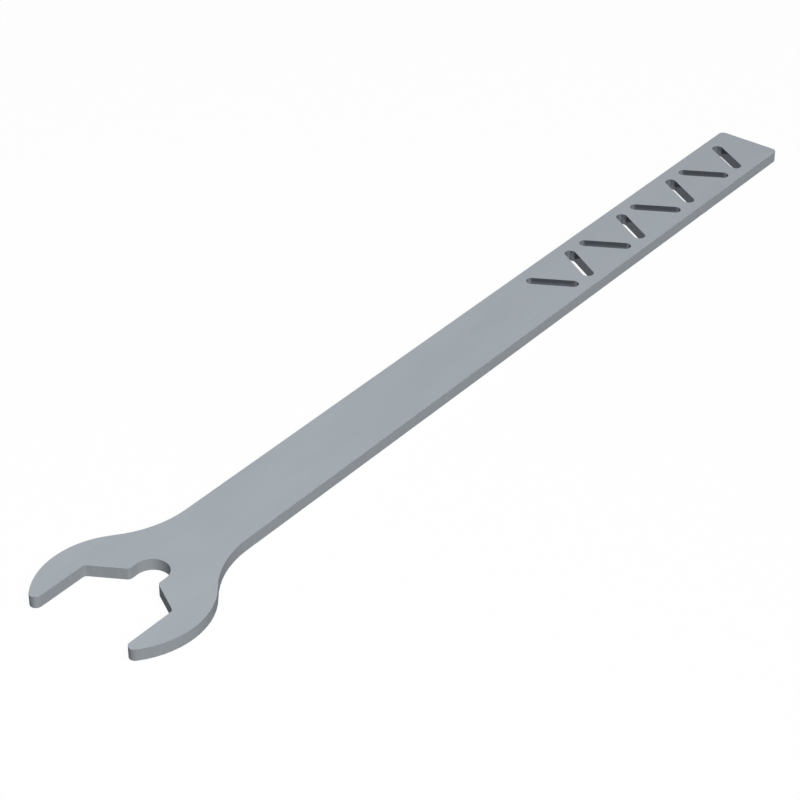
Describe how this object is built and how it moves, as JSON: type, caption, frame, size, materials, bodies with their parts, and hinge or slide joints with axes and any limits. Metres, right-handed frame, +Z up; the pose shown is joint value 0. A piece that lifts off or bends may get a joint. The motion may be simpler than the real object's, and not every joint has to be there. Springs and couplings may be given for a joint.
{
  "type": "open-end wrench",
  "caption": "Flat one-piece open-end wrench: hexagon mouth with a rounded relief, round head, and a grip cut with slanted slots.",
  "frame": {"origin": "on the lower flat face, midway along the overall length and on the handle's centre line", "axes": "+X along the handle to its free end, +Y across the handle, +Z up through the plate's thickness"},
  "size_m": [0.45, 0.0674, 0.005],
  "materials": {
    "steel": "plain rolled steel plate with sharp cut edges"
  },
  "bodies": {
    "root": {"wrench_body": "steel"}
  },
  "joints": []
}
